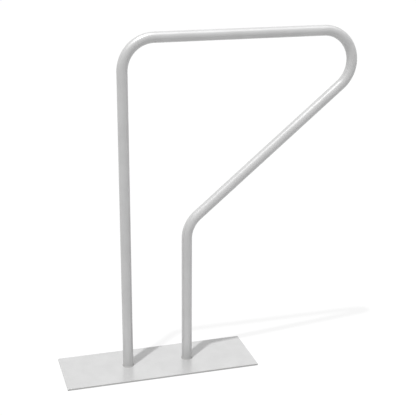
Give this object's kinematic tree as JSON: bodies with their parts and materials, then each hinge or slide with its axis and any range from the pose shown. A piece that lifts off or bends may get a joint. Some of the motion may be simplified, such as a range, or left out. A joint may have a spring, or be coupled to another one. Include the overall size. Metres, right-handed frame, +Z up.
{
  "type": "hoop bike rack",
  "caption": "Bent tube hoop with an overhanging top bar, welded by both legs to a flat base plate, for leaning and locking bicycles.",
  "frame": {"origin": "middle of the base plate's underside, on the surface that the rack stands on", "axes": "+X along the hoop from the tall leg towards the overhang, +Y to the back, +Z up"},
  "size_m": [1.0162, 0.22, 1.1395],
  "materials": {
    "hoop_coat": "satin silver-grey powder coat with fine aluminium flake",
    "plate_coat": "satin silver-grey powder coat with fine aluminium flake, on rolled plate",
    "weld_coat": "dull silver-grey powder coat over a rippled fillet weld"
  },
  "bodies": {
    "root": {"base_plate": "plate_coat", "hoop_tube": "hoop_coat", "weld_tall_leg": "weld_coat", "weld_short_leg": "weld_coat"}
  },
  "joints": []
}
